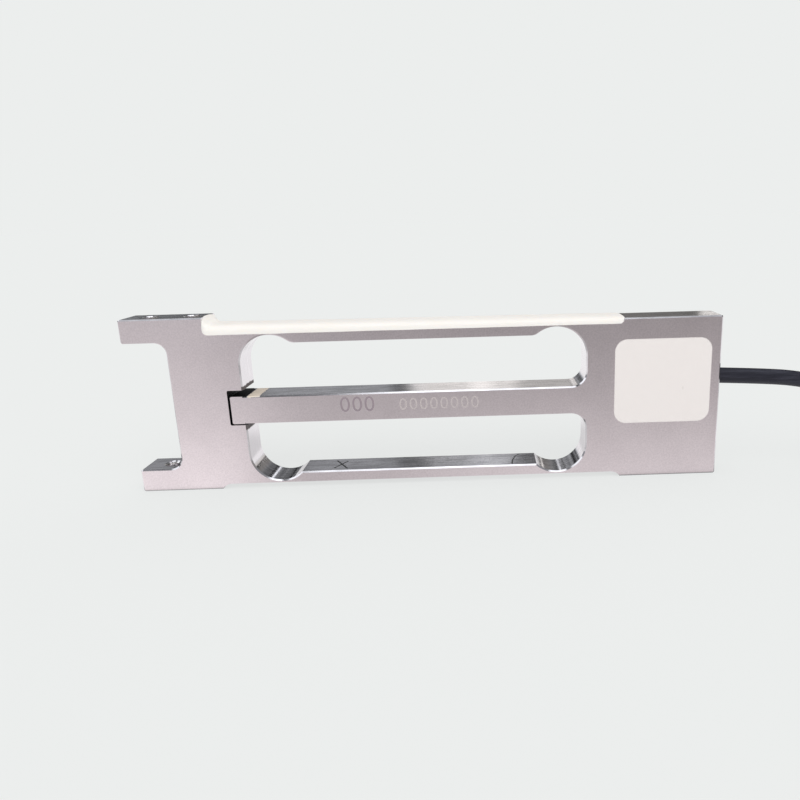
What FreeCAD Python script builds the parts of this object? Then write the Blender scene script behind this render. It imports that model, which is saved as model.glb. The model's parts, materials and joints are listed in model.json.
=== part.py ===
"""Single point load cell of very low capacity, with its cable.

A plate-like aluminium bar stands on its long edge. Two windows leave an upper and a lower beam
that bend only at four thin hinge webs, and a stiff arm that grows from the fixed end between
them and whose tip stops the loaded end in a slot. The strain gauges lie in the top recess under
silicone, and their wires run to a small board potted in the fixed end.

Millimetres. X runs from the loaded end to the fixed end, Y from the front to the back, Z up.
The origin is the middle of the bar, on the surface that it stands on.
"""
import FreeCAD
import Part
import math
import os

V = FreeCAD.Vector

# --- bar ----------------------------------------------------------------------------------
LENGTH = 110.0             # over both ends
THICKNESS = 6.0            # front to back
FIXED_HEIGHT = 31.0        # fixed end
LOADED_RISE = 2.2          # how much higher the loaded end's pad stands
EDGE_BREAK = 0.25          # chamfer along the front and back outlines
END_RADIUS = 0.4           # outer corners of the profile

# --- gauge recesses -----------------------------------------------------------------------
TOP_RECESS = 0.8           # milled off the top between the ends
BOTTOM_RECESS = 1.05
RECESS_START = 15.05       # from the loaded end
RECESS_OVER_POCKET = 1.38  # past the near side of the wiring pocket
RECESS_RADIUS = 2.2        # left by the cutter at each end

# --- hinges, beams and arm ----------------------------------------------------------------
HINGE_RADIUS = 5.55        # the round ends of the windows
HINGE_LEFT = 26.6          # hinge centres from the loaded end
HINGE_RIGHT = 30.75        # and from the fixed end
WEB = 0.45                 # thinnest section, at each hinge
BEAM = 2.0                 # beams between the hinges
UPPER_BLEND = 2.0          # between a hinge and the upper beam; the lower corners stay sharp
ARM_HALF = 2.65            # half of the arm's height
ARM_ROOT_RADIUS = 2.8

# --- overload stop ------------------------------------------------------------------------
STOP_LEFT = 18.05          # blind end of the slot
STOP_END_GAP = 0.45        # beyond the arm's tip
STOP_TOP_GAP = 1.2         # travel before the slot's roof meets the arm
STOP_BOTTOM_GAP = 0.25
STOP_RADIUS = 0.3

# --- loaded end ---------------------------------------------------------------------------
NOTCH_DEPTH = 7.95         # from the end face to the notch's wall
TAB_THICKNESS = 4.4        # upper and lower tab
NOTCH_RADIUS = 2.2

# --- threaded holes -----------------------------------------------------------------------
THREAD_RADIUS = 1.25       # drilled for M3
THREAD_SINK = 0.25         # countersink at each mouth
TAB_HOLE = 4.75            # from the loaded end, through both tabs
BLOCK_HOLE_SPACING = 7.55  # second top hole from the first
BLOCK_HOLE_DEPTH = 9.0
BASE_HOLE_INSET = 4.5      # last hole under the fixed end, from its end face
BASE_HOLE_SPACING = 10.0
BASE_HOLE_DEPTH = 7.5

# --- wiring pocket ------------------------------------------------------------------------
POCKET_WALL = 1.78         # metal between the pocket and the end face
POCKET_ROOF = 3.99         # metal above the pocket
POCKET_WIDTH = 18.1
POCKET_HEIGHT = 16.25
POCKET_RADIUS = 2.3
POCKET_DEPTH = 4.8
POTTING_SINK = 0.05        # potting below the front face
WIRE_HOLE_RADIUS = 0.6
WIRE_HOLE_LEAD = 0.82      # from the recess floor's mouth to the pocket's near side
WIRE_HOLE_Y = 0.3
WIRE_HOLE_LEAN = 0.36      # along X for each unit down
WIRE_HOLE_INSIDE = 1.86    # how far it runs on below the pocket's top

# --- silicone over the gauges -------------------------------------------------------------
COAT_LIP = 0.35            # proud of the front and back faces
COAT_DROP = 0.15           # below the recess floor, over the edges
COAT_LEFT_RISE = 1.65      # top of the bead above the recess floor, beside the loaded end
COAT_RIGHT_RISE = 1.1      # and at the fixed end
COAT_ROUND = 0.95          # long top edges
COAT_END_ROUND = 1.0       # corners of the bead's ends, seen from the front
COAT_CLIMB_TOP = 0.45      # width of the film at the top of the loaded end's step
COAT_CLIMB_FOOT = 1.6      # and where it meets the bead
COAT_LAP = 0.3             # past the recess, over the fixed end

# --- gauges, terminals and bridge wires ---------------------------------------------------
GAUGE_LENGTH = 7.0
GAUGE_WIDTH = 3.8
GAUGE_Y = -0.7             # middle of the gauges
BACKING = 0.06             # film thickness
FOIL = 0.03
GRID_LINES = 6
GRID_LINE_WIDTH = 0.12
GRID_PITCH = 0.24
GRID_LENGTH = 2.4
GRID_SPACING = 1.8         # between the two grids of a gauge
GRID_TAB = 0.9
TERMINAL_LENGTH = 2.4
TERMINAL_THICKNESS = 0.25
TERMINAL_GAP = 1.2         # between a gauge and its terminal strip
WIRE_RADIUS = 0.12
WIRE_PITCH = 0.36          # between wires laid side by side
WIRE_CLEARANCE = 0.02
WIRE_HUMP = 0.12           # where a wire lifts before it dips into the wire hole
WIRE_SET = 0.7             # last straight before the dip

# --- board in the pocket ------------------------------------------------------------------
BOARD_WIDTH = 9.5
BOARD_HEIGHT = 10.0
BOARD_THICKNESS = 0.6
BOARD_SHIFT = 2.17         # from the pocket's middle towards the loaded end
BOARD_BACK = 0.5           # potting between the pocket's floor and the board
BOARD_PAD_INSET = 1.1      # wire and core pads from the board's edges
BOARD_PAD_PITCH = 0.8
CHIP_LENGTH = 2.0
CHIP_WIDTH = 1.25
CHIP_HEIGHT = 0.5
CHIP_SPACING_X = 2.9
CHIP_SPACING_Z = 3.2

# --- cable ---------------------------------------------------------------------------------
CABLE_RADIUS = 1.5
CABLE_HOLE_GAP = 0.1       # round the jacket in the end wall
CABLE_INSIDE = 2.6         # jacket that reaches into the pocket
CORE_RADIUS = 0.38
CORE_CIRCLE = 0.59         # cores about the cable's axis
CORE_NAMES = ("red", "black", "green", "white")
CORE_PAD_PITCH = 2.1

CABLE_POINTS = (           # from the exit down to the hank: beyond the end face, y, height
    (8.0, 0.0, 18.5),
    (16.5, -0.1, 17.8),
    (24.5, -0.4, 15.6),
    (31.5, -0.9, 11.2),
    (37.5, -1.3, 6.3),
    (42.8, -1.1, 3.1),
    (48.2, -1.05, 1.85),
    (53.4, -1.0, 1.5),
)
HANK_RADIUS = 9.0          # centre line of the folds
HANK_RUN = 38.0            # straight part of each run
HANK_CORNER = 1.2          # rounding of the hank's section
TAIL_POINTS = (            # from the hank's upper layer to the end of the jacket, likewise
    (53.4, -19.0, 4.5),
    (46.6, -19.05, 4.3),
    (40.0, -19.2, 2.8),
    (34.2, -18.7, 1.5),
    (29.0, -18.7, 1.5),
)
TIE_WIDTH = 2.5
TIE_THICKNESS = 0.5
TIE_GAP = 0.05             # between the strap and the cable
TIE_CORNER = 1.6
TIE_HEAD = 3.8
TIE_HEAD_HEIGHT = 1.9
TIE_TAIL = 5.0
LEAD_FAN = (-2.5, 2.6, 0.9, -0.8)   # how far each lead strays from the cable's line
LEAD_LENGTH = 14.0
TIP_RADIUS = 0.2
TIP_LENGTH = 4.0

# --- worked out from the above ------------------------------------------------------------
LEFT = -LENGTH / 2
RIGHT = LENGTH / 2
FRONT = -THICKNESS / 2
BACK = THICKNESS / 2
LOADED_HEIGHT = FIXED_HEIGHT + LOADED_RISE
FLOOR_HIGH = FIXED_HEIGHT - TOP_RECESS
FLOOR_LOW = BOTTOM_RECESS
MID_PLANE = (FLOOR_HIGH + FLOOR_LOW) / 2
WINDOW_HALF = FLOOR_HIGH - MID_PLANE - BEAM
HINGE_OFFSET = FLOOR_HIGH - MID_PLANE - WEB - HINGE_RADIUS
ARM_TIP = STOP_LEFT + STOP_END_GAP
POCKET_TOP = FIXED_HEIGHT - POCKET_ROOF
POCKET_LEVEL = POCKET_TOP - POCKET_HEIGHT / 2
POCKET_NEAR = RIGHT - POCKET_WALL - POCKET_WIDTH
POCKET_X = POCKET_NEAR + POCKET_WIDTH / 2
BOARD_X = POCKET_X - BOARD_SHIFT
RECESS_LEFT = LEFT + RECESS_START
RECESS_RIGHT = POCKET_NEAR + RECESS_OVER_POCKET
COAT_LEFT_LEVEL = FLOOR_HIGH + COAT_LEFT_RISE
COAT_RIGHT_LEVEL = FLOOR_HIGH + COAT_RIGHT_RISE
HANK_HEIGHT = 4 * CABLE_RADIUS
HANK_X = RIGHT + CABLE_POINTS[-1][0]
HANK_Y = CABLE_POINTS[-1][1] - HANK_RADIUS
CABLE_EXIT = V(RIGHT, 0, POCKET_LEVEL)


def from_left(distance):
    """X of a place at a distance from the loaded end."""
    return LEFT + distance


def from_end(points):
    """Points given beyond the fixed end's face, on the part's own axes."""
    return [V(RIGHT + x, y, z) for x, y, z in points]


def rounded_wire(corners):
    """Closed flat wire through (point, radius) corners, each rounded by an arc of that radius."""
    edges = []
    ends = []
    count = len(corners)
    for i, (here, radius) in enumerate(corners):
        before = (corners[i - 1][0] - here).normalize()
        after = (corners[(i + 1) % count][0] - here).normalize()
        if radius == 0:
            ends.append((here, here))
            continue
        half = before.getAngle(after) / 2
        reach = radius / math.tan(half)
        inward = (before + after).normalize()
        middle = here + inward * (radius / math.sin(half) - radius)
        ends.append((here + before * reach, here + after * reach))
        edges.append(Part.Arc(ends[-1][0], middle, ends[-1][1]).toShape())
    for i in range(count):
        first, second = ends[i - 1][1], ends[i][0]
        if first.distanceToPoint(second) > 1e-6:
            edges.append(Part.LineSegment(first, second).toShape())
    return Part.Wire(Part.__sortEdges__(edges))


def rounded_outline(corners, y=0.0):
    """Rounded wire in the plane Y = y through (x, z, radius) corners."""
    return rounded_wire([(V(x, y, z), radius) for x, z, radius in corners])


def section_at(x, corners):
    """Rounded wire in the plane X = x through (y, z, radius) corners."""
    return rounded_wire([(V(x, y, z), radius) for y, z, radius in corners])


def prism(corners, front, back):
    """Solid between two Y planes over a rounded outline."""
    return Part.Face(rounded_outline(corners, front)).extrude(V(0, back - front, 0))


def block(x1, x2, y1, y2, z1, z2):
    """Box between two corners."""
    return Part.makeBox(x2 - x1, y2 - y1, z2 - z1, V(x1, y1, z1))


def through(x, z, radius):
    """Cylinder along Y, longer than the bar is thick."""
    return Part.makeCylinder(radius, THICKNESS + 2, V(x, FRONT - 1, z), V(0, 1, 0))


def joined(pieces):
    """One solid of several that overlap or touch."""
    whole = pieces[0]
    for piece in pieces[1:]:
        whole = whole.fuse(piece)
    return whole.removeSplitter()


def without(solid, cutters):
    """The solid less each cutter."""
    for cutter in cutters:
        solid = solid.cut(cutter)
    return solid


def route_edges(points):
    """Straight runs joined by tangent arcs, as large as the runs allow, and the arcs' radii."""
    edges = []
    radii = []
    last = points[0]
    for before, here, after in zip(points, points[1:], points[2:]):
        back = (before - here).normalize()
        ahead = (after - here).normalize()
        half_turn = (math.pi - back.getAngle(ahead)) / 2
        reach = 0.45 * min(here.distanceToPoint(before), here.distanceToPoint(after))
        radius = reach / math.tan(half_turn)
        inward = (back + ahead).normalize()
        middle = here + inward * (radius / math.cos(half_turn) - radius)
        start = here + back * reach
        end = here + ahead * reach
        edges.append(Part.LineSegment(last, start).toShape())
        edges.append(Part.Arc(start, middle, end).toShape())
        radii.append(radius)
        last = end
    edges.append(Part.LineSegment(last, points[-1]).toShape())
    return edges, radii


def tube(points, radius):
    """Round solid along a route, with its smallest bend printed against its section."""
    points = [V(point) for point in points]
    edges, radii = route_edges(points)
    path = Part.Wire(edges)
    ring = Part.Wire(Part.makeCircle(radius, points[0], points[1] - points[0]))
    solid = path.makePipeShell([ring], True, False)
    share = solid.Volume / (math.pi * radius ** 2 * path.Length)
    print("length %.1f, smallest radius %.1f, volume ratio %.4f" % (path.Length, min(radii), share))
    return solid


# --- bar ----------------------------------------------------------------------------------
def bar_outline():
    """Profile of the bar: fixed end, loaded end with its notch, no recesses yet."""
    wall = from_left(NOTCH_DEPTH)
    roof = LOADED_HEIGHT - TAB_THICKNESS
    step = RECESS_LEFT
    return (
        (LEFT, 0, END_RADIUS),
        (RIGHT, 0, END_RADIUS),
        (RIGHT, FIXED_HEIGHT, END_RADIUS),
        (step, FIXED_HEIGHT, 0),
        (step, LOADED_HEIGHT, 0),
        (LEFT, LOADED_HEIGHT, END_RADIUS),
        (LEFT, roof, END_RADIUS),
        (wall, roof, NOTCH_RADIUS),
        (wall, TAB_THICKNESS, NOTCH_RADIUS),
        (LEFT, TAB_THICKNESS, END_RADIUS),
    )


def mouth_run(depth):
    """How far a recess's round corner reaches inwards from its mouth, at that depth."""
    rise = RECESS_RADIUS - depth
    return RECESS_RADIUS - math.sqrt(RECESS_RADIUS ** 2 - rise ** 2)


def recess(start, end, floor, over):
    """Cutter for a gauge recess up or down to a level outside the bar, with its round corners."""
    corners = ((start, floor, RECESS_RADIUS), (end, floor, RECESS_RADIUS), (end, over, 0), (start, over, 0))
    return prism(corners, FRONT - 1, BACK + 1)


def window_cutter():
    """Both windows in one, round at the hinges, less the arm between them."""
    low, high = MID_PLANE - HINGE_OFFSET, MID_PLANE + HINGE_OFFSET
    left, right = gauge_x("left"), gauge_x("right")
    floor, roof = MID_PLANE - WINDOW_HALF, MID_PLANE + WINDOW_HALF
    y1, y2 = FRONT - 1, BACK + 1
    pieces = [
        block(left, right, y1, y2, floor, roof),
        block(left - HINGE_RADIUS, right + HINGE_RADIUS, y1, y2, low, high),
    ]
    pieces += [through(x, z, HINGE_RADIUS) for x in (left, right) for z in (low, high)]
    cutter = joined(pieces)
    cutter = cutter.makeFillet(UPPER_BLEND, [edge for edge in cutter.Edges if is_upper_corner(edge, roof)])
    arm_low, arm_high = MID_PLANE - ARM_HALF, MID_PLANE + ARM_HALF
    root = right + HINGE_RADIUS
    far = root + 2 * ARM_ROOT_RADIUS
    arm = prism(((LEFT, arm_low, 0), (far, arm_low, 0), (far, arm_high, 0), (LEFT, arm_high, 0)),
                y1 - 1, y2 + 1)
    cutter = cutter.cut(arm)
    root_corners = [edge for edge in cutter.Edges if is_root_corner(edge, root, arm_low, arm_high)]
    return cutter.makeFillet(ARM_ROOT_RADIUS, root_corners)


def is_across(edge):
    """True for an edge that runs along Y."""
    box = edge.BoundBox
    return box.XLength < 1e-4 and box.ZLength < 1e-4 and box.YLength > THICKNESS


def is_upper_corner(edge, roof):
    """True where a hinge circle meets the upper beam's face."""
    return is_across(edge) and abs(edge.BoundBox.ZMin - roof) < 1e-4


def is_root_corner(edge, root, arm_low, arm_high):
    """True where the arm grows from the fixed end."""
    box = edge.BoundBox
    at_root = abs(box.XMin - root) < 1e-4
    return is_across(edge) and at_root and (abs(box.ZMin - arm_low) < 1e-4 or abs(box.ZMin - arm_high) < 1e-4)


def stop_slot():
    """Cutter round the arm's tip: the slot in the loaded end, less the arm."""
    arm_low, arm_high = MID_PLANE - ARM_HALF, MID_PLANE + ARM_HALF
    low, high = arm_low - STOP_BOTTOM_GAP, arm_high + STOP_TOP_GAP
    end, tip, window = from_left(STOP_LEFT), from_left(ARM_TIP), gauge_x("left")
    slot = prism(((end, low, STOP_RADIUS), (window, low, 0), (window, high, 0), (end, high, STOP_RADIUS)),
                 FRONT - 1, BACK + 1)
    arm = prism(((tip, arm_low, STOP_RADIUS), (window, arm_low, 0), (window, arm_high, 0),
                 (tip, arm_high, STOP_RADIUS)), FRONT - 1, BACK + 1)
    return slot.cut(arm)


def drilled(x, z, depth, down=True):
    """M3 hole from a face at height z, with a countersunk mouth."""
    axis = V(0, 0, -1) if down else V(0, 0, 1)
    wide = THREAD_RADIUS + THREAD_SINK
    hole = Part.makeCylinder(THREAD_RADIUS, depth, V(x, 0, z), axis)
    return hole.fuse(Part.makeCone(wide, THREAD_RADIUS, THREAD_SINK, V(x, 0, z), axis))


def threaded_holes():
    """Two holes in the top of the loaded end, one in its lower tab and two under the fixed end."""
    x = from_left(TAB_HOLE)
    roof = LOADED_HEIGHT - TAB_THICKNESS
    holes = [
        drilled(x, LOADED_HEIGHT, TAB_THICKNESS),
        drilled(x, roof, THREAD_SINK, down=False),
        drilled(x, TAB_THICKNESS, TAB_THICKNESS),
        drilled(x, 0, THREAD_SINK, down=False),
        drilled(x + BLOCK_HOLE_SPACING, LOADED_HEIGHT, BLOCK_HOLE_DEPTH),
    ]
    for i in range(2):
        base = RIGHT - BASE_HOLE_INSET - i * BASE_HOLE_SPACING
        holes.append(drilled(base, 0, BASE_HOLE_DEPTH, down=False))
    return holes


def pocket_outline():
    """Corners of the wiring pocket."""
    half_x, half_z = POCKET_WIDTH / 2, POCKET_HEIGHT / 2
    return tuple((POCKET_X + sx * half_x, POCKET_LEVEL + sz * half_z, POCKET_RADIUS)
                 for sx, sz in ((-1, -1), (1, -1), (1, 1), (-1, 1)))


def wire_hole_x(z):
    """X of the wire hole's axis at a height."""
    return POCKET_NEAR - WIRE_HOLE_LEAD + WIRE_HOLE_LEAN * (FLOOR_HIGH - z)


def wire_hole():
    """Leaning cutter from the top recess down into the pocket."""
    top, bottom = FIXED_HEIGHT, POCKET_TOP - WIRE_HOLE_INSIDE
    start = V(wire_hole_x(top), WIRE_HOLE_Y, top)
    end = V(wire_hole_x(bottom), WIRE_HOLE_Y, bottom)
    return Part.makeCylinder(WIRE_HOLE_RADIUS, start.distanceToPoint(end), start, end - start)


def cable_hole():
    """Cutter through the end wall, round the cable."""
    start = jacket_start()
    return Part.makeCylinder(CABLE_RADIUS + CABLE_HOLE_GAP, RIGHT + 1 - start,
                             V(start, 0, POCKET_LEVEL), V(1, 0, 0))


def make_body():
    """The whole spring element, cut from one plate."""
    body = prism(bar_outline(), FRONT, BACK)
    low_run, high_run = mouth_run(BOTTOM_RECESS), mouth_run(TOP_RECESS)
    body = without(body, [
        recess(RECESS_LEFT - low_run, RECESS_RIGHT + low_run, FLOOR_LOW, -2 * RECESS_RADIUS),
        recess(RECESS_LEFT, RECESS_RIGHT + high_run, FLOOR_HIGH, LOADED_HEIGHT + 2 * RECESS_RADIUS),
        window_cutter(),
    ])
    broken = [edge for edge in body.Edges if takes_chamfer(edge)]
    body = body.makeChamfer(EDGE_BREAK, broken)
    return without(body, [
        stop_slot(),
        prism(pocket_outline(), FRONT - 1, FRONT + POCKET_DEPTH),
        wire_hole(),
        cable_hole(),
    ] + threaded_holes())


def takes_chamfer(edge):
    """True for the outline and window edges on the front and back faces, outside the recesses."""
    box = edge.BoundBox
    on_face = box.YLength < 1e-4 and abs(abs(box.YMin) - THICKNESS / 2) < 1e-4
    reach = RECESS_RIGHT + RECESS_RADIUS
    inside = RECESS_LEFT - 1e-3 <= box.XMin and box.XMax <= reach
    in_recess = inside and (box.ZMax <= FLOOR_LOW + 1e-3 or box.ZMin >= FLOOR_HIGH - 1e-3)
    return on_face and not in_recess


# --- gauges, terminals and bridge wires -----------------------------------------------------
def gauge_x(side):
    """X of the hinges on one side, the upper one of which carries a gauge."""
    return LEFT + HINGE_LEFT if side == "left" else RIGHT - HINGE_RIGHT


def make_backing(side):
    """Film that carries a gauge's two grids, bonded over a hinge."""
    x = gauge_x(side)
    return block(x - GAUGE_LENGTH / 2, x + GAUGE_LENGTH / 2,
                 GAUGE_Y - GAUGE_WIDTH / 2, GAUGE_Y + GAUGE_WIDTH / 2, FLOOR_HIGH, FLOOR_HIGH + BACKING)


def make_grid(x, y):
    """Foil grid: parallel lines joined end to end, with a solder tab at each end of the run."""
    low, high = FLOOR_HIGH + BACKING, FLOOR_HIGH + BACKING + FOIL
    half = GRID_LINE_WIDTH / 2
    first = y - (GRID_LINES - 1) * GRID_PITCH / 2
    last = y + (GRID_LINES - 1) * GRID_PITCH / 2
    start, end = x - GRID_LENGTH / 2, x + GRID_LENGTH / 2
    pieces = []
    for i in range(GRID_LINES):
        middle = first + i * GRID_PITCH
        reach = GRID_TAB if i in (0, GRID_LINES - 1) else 0
        pieces.append(block(start - reach, end, middle - half, middle + half, low, high))
    for i in range(GRID_LINES - 1):
        middle = first + i * GRID_PITCH
        turn = end - GRID_LINE_WIDTH if i % 2 == 0 else start
        pieces.append(block(turn, turn + GRID_LINE_WIDTH, middle, middle + GRID_PITCH, low, high))
    tab_end = start - GRID_TAB / 3
    pieces.append(block(start - GRID_TAB, tab_end, first - half, first + GRID_PITCH, low, high))
    pieces.append(block(start - GRID_TAB, tab_end, last - GRID_PITCH, last + half, low, high))
    return joined(pieces)


def terminal_x(side):
    """Middle of a terminal strip, on the cable's side of its gauge."""
    return gauge_x(side) + GAUGE_LENGTH / 2 + TERMINAL_GAP + TERMINAL_LENGTH / 2


def make_terminal(side):
    """Small laminate strip where a gauge's leads meet the bridge wires."""
    x = terminal_x(side)
    return block(x - TERMINAL_LENGTH / 2, x + TERMINAL_LENGTH / 2, GAUGE_Y - GAUGE_WIDTH / 2,
                 GAUGE_Y + GAUGE_WIDTH / 2, FLOOR_HIGH, FLOOR_HIGH + TERMINAL_THICKNESS)


def make_wire(side, slot):
    """Enamelled wire from a terminal strip along the recess, down the wire hole to the board."""
    level = FLOOR_HIGH + WIRE_RADIUS + WIRE_CLEARANCE
    pad = FLOOR_HIGH + TERMINAL_THICKNESS + WIRE_RADIUS + WIRE_CLEARANCE
    pitch = 2 * (WIRE_RADIUS + WIRE_CLEARANCE)
    hole_x = (slot - 1) * pitch
    mouth = wire_hole_x(level) + hole_x
    strip = terminal_x(side)
    if side == "left":
        comes_from, row = 1, 2 - slot
        edge = GAUGE_Y + GAUGE_WIDTH / 2
        lane = edge + 5 * WIRE_RADIUS + slot * WIRE_PITCH
        start = strip + (1 - slot) * 2 * WIRE_PITCH
        points = [(start, edge - WIRE_SET, pad), (start, edge + WIRE_RADIUS, pad + WIRE_CLEARANCE),
                  (start + WIRE_SET, lane, level), (mouth, lane, level + WIRE_CLEARANCE)]
    else:
        comes_from, row = -1, 5 - slot
        lane = WIRE_HOLE_Y - pitch / 2 - WIRE_SET - (slot + 1) * WIRE_PITCH
        edge = strip + TERMINAL_LENGTH / 2
        points = [(strip, lane, pad), (edge + WIRE_RADIUS, lane, pad + WIRE_CLEARANCE),
                  (edge + 2 * WIRE_SET, lane, level), (mouth, lane, level + WIRE_CLEARANCE)]
    hole_y = WIRE_HOLE_Y + comes_from * pitch / 2
    face = board_front() - WIRE_RADIUS - WIRE_CLEARANCE
    pad_z = POCKET_LEVEL + BOARD_HEIGHT / 2 - BOARD_PAD_INSET - row * BOARD_PAD_PITCH
    board_edge = BOARD_X - BOARD_WIDTH / 2
    bottom = POCKET_TOP - WIRE_HOLE_INSIDE
    points += [
        (mouth, hole_y + comes_from * WIRE_SET, level + WIRE_HUMP),
        (mouth, hole_y, level),
        (wire_hole_x(bottom) + hole_x, hole_y, bottom),
        (wire_hole_x(bottom) + hole_x, hole_y, pad_z + WIRE_SET),
        (board_edge - 2 * WIRE_RADIUS, face, pad_z),
        (board_edge + BOARD_PAD_INSET, face, pad_z - WIRE_CLEARANCE),
    ]
    return tube(points, WIRE_RADIUS)


# --- board and cores in the pocket ----------------------------------------------------------
def board_front():
    """Y of the board's face that carries the chips."""
    return FRONT + POCKET_DEPTH - BOARD_BACK - BOARD_THICKNESS


def make_board():
    """Compensation board."""
    y = board_front()
    return block(BOARD_X - BOARD_WIDTH / 2, BOARD_X + BOARD_WIDTH / 2, y, y + BOARD_THICKNESS,
                 POCKET_LEVEL - BOARD_HEIGHT / 2, POCKET_LEVEL + BOARD_HEIGHT / 2)


def make_chip(column, row):
    """Trimming resistor on the board."""
    x = BOARD_X + (column - 0.5) * CHIP_SPACING_X
    z = POCKET_LEVEL + (row - 0.5) * CHIP_SPACING_Z
    y = board_front()
    return block(x - CHIP_LENGTH / 2, x + CHIP_LENGTH / 2, y - CHIP_HEIGHT, y,
                 z - CHIP_WIDTH / 2, z + CHIP_WIDTH / 2)


def jacket_start():
    """X where the jacket ends inside the pocket."""
    return RIGHT - POCKET_WALL - CABLE_INSIDE


def core_place(index):
    """Where a core lies about the cable's axis: y and z offsets."""
    angle = math.radians(135 - 90 * index)
    return CORE_CIRCLE * math.cos(angle), CORE_CIRCLE * math.sin(angle)


def make_core(index):
    """Insulated core from the jacket's end to its pad on the board."""
    y, z = core_place(index)
    start = jacket_start()
    edge = BOARD_X + BOARD_WIDTH / 2 + CORE_RADIUS
    face = board_front() - CORE_RADIUS - WIRE_CLEARANCE
    pad_z = POCKET_LEVEL + (1.5 - index) * CORE_PAD_PITCH
    middle = (start - 1.0 + edge) / 2
    points = [
        (start, y, POCKET_LEVEL + z),
        (start - 1.0, y, POCKET_LEVEL + z),
        (middle, (y + face) / 2, (POCKET_LEVEL + z + 2 * pad_z) / 3),
        (edge, face, pad_z),
        (edge - CORE_RADIUS - BOARD_PAD_INSET, face, pad_z - WIRE_CLEARANCE),
    ]
    return tube(points, CORE_RADIUS)


def make_entry():
    """Jacket from inside the pocket to the end face."""
    start = jacket_start()
    return Part.makeCylinder(CABLE_RADIUS, RIGHT - start, V(start, 0, POCKET_LEVEL), V(1, 0, 0))


def make_potting(inside):
    """Potting that fills the pocket round what lies in it."""
    fill = prism(pocket_outline(), FRONT + POTTING_SINK, FRONT + POCKET_DEPTH)
    return without(fill, inside)


# --- silicone ---------------------------------------------------------------------------------
def bead_section(x, level):
    """Cross-section of the silicone bead, lips and all."""
    foot = FLOOR_HIGH - COAT_DROP
    lip = COAT_LIP
    corners = (
        (FRONT - lip, foot, lip / 2),
        (BACK + lip, foot, lip / 2),
        (BACK + lip, level, COAT_ROUND),
        (FRONT - lip, level, COAT_ROUND),
    )
    return section_at(x, corners)


def make_coat(body, inside):
    """Silicone bead over the gauges, climbing the loaded end's step."""
    start, end = RECESS_LEFT, RECESS_RIGHT + COAT_LAP
    foot = FLOOR_HIGH - COAT_DROP
    high = COAT_LEFT_LEVEL + 1
    bead = Part.makeLoft([bead_section(start, COAT_LEFT_LEVEL), bead_section(end, COAT_RIGHT_LEVEL)],
                         True, True)
    ends = ((start, foot, COAT_END_ROUND), (end, foot, COAT_END_ROUND), (end, high, 0), (start, high, 0))
    trim = prism(ends, FRONT - 1, BACK + 1)
    top = start + COAT_CLIMB_TOP
    toe = start + COAT_CLIMB_FOOT
    bed = COAT_LEFT_LEVEL - COAT_ROUND / 2
    climb = prism(((start, bed, 0), (toe, bed, 0), (toe, COAT_LEFT_LEVEL - 0.1, 0),
                   (top, LOADED_HEIGHT - EDGE_BREAK / 2, COAT_CLIMB_TOP / 3),
                   (start, LOADED_HEIGHT - EDGE_BREAK / 2, 0)), FRONT + EDGE_BREAK, BACK - EDGE_BREAK)
    return without(bead.common(trim).fuse(climb), [body] + inside).removeSplitter()


# --- free cable -------------------------------------------------------------------------------
def make_cable():
    """Free cable from the end face down to the hank, cut flush with the face."""
    points = from_end(CABLE_POINTS)
    inside = CABLE_EXIT + (CABLE_EXIT - points[0]).normalize() * CABLE_RADIUS
    whole = tube([inside] + points, CABLE_RADIUS)
    reach = 2 * CABLE_RADIUS
    bar = block(RIGHT - reach, RIGHT, -reach, reach, POCKET_LEVEL - reach, POCKET_LEVEL + reach)
    return whole.cut(bar)


def make_tail():
    """Free cable from the hank's upper layer to the end of the jacket."""
    return tube(from_end(TAIL_POINTS), CABLE_RADIUS)


def hank_section(x, y, outer):
    """Section of the hank's two layers at a run, in the plane X = x."""
    inner_y, outer_y = y - outer * CABLE_RADIUS, y + outer * CABLE_RADIUS
    corners = ((inner_y, 0, HANK_CORNER), (outer_y, 0, HANK_CORNER),
               (outer_y, HANK_HEIGHT, HANK_CORNER), (inner_y, HANK_HEIGHT, HANK_CORNER))
    return Part.Face(section_at(x, corners))


def make_hank(cut_by):
    """Outer shape of the cable folded into two layers of a long loop."""
    far_x = HANK_X + HANK_RUN
    sides = {}
    for outer in (-1, 1):
        y = HANK_Y + outer * HANK_RADIUS
        sides[outer] = hank_section(HANK_X, y, outer).extrude(V(HANK_RUN, 0, 0))
    near = hank_section(HANK_X, HANK_Y + HANK_RADIUS, 1).revolve(V(HANK_X, HANK_Y, 0), V(0, 0, 1), 180)
    far = hank_section(far_x, HANK_Y + HANK_RADIUS, 1).revolve(V(far_x, HANK_Y, 0), V(0, 0, 1), -180)
    return without(joined([sides[-1], near, sides[1], far]), cut_by)


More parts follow.
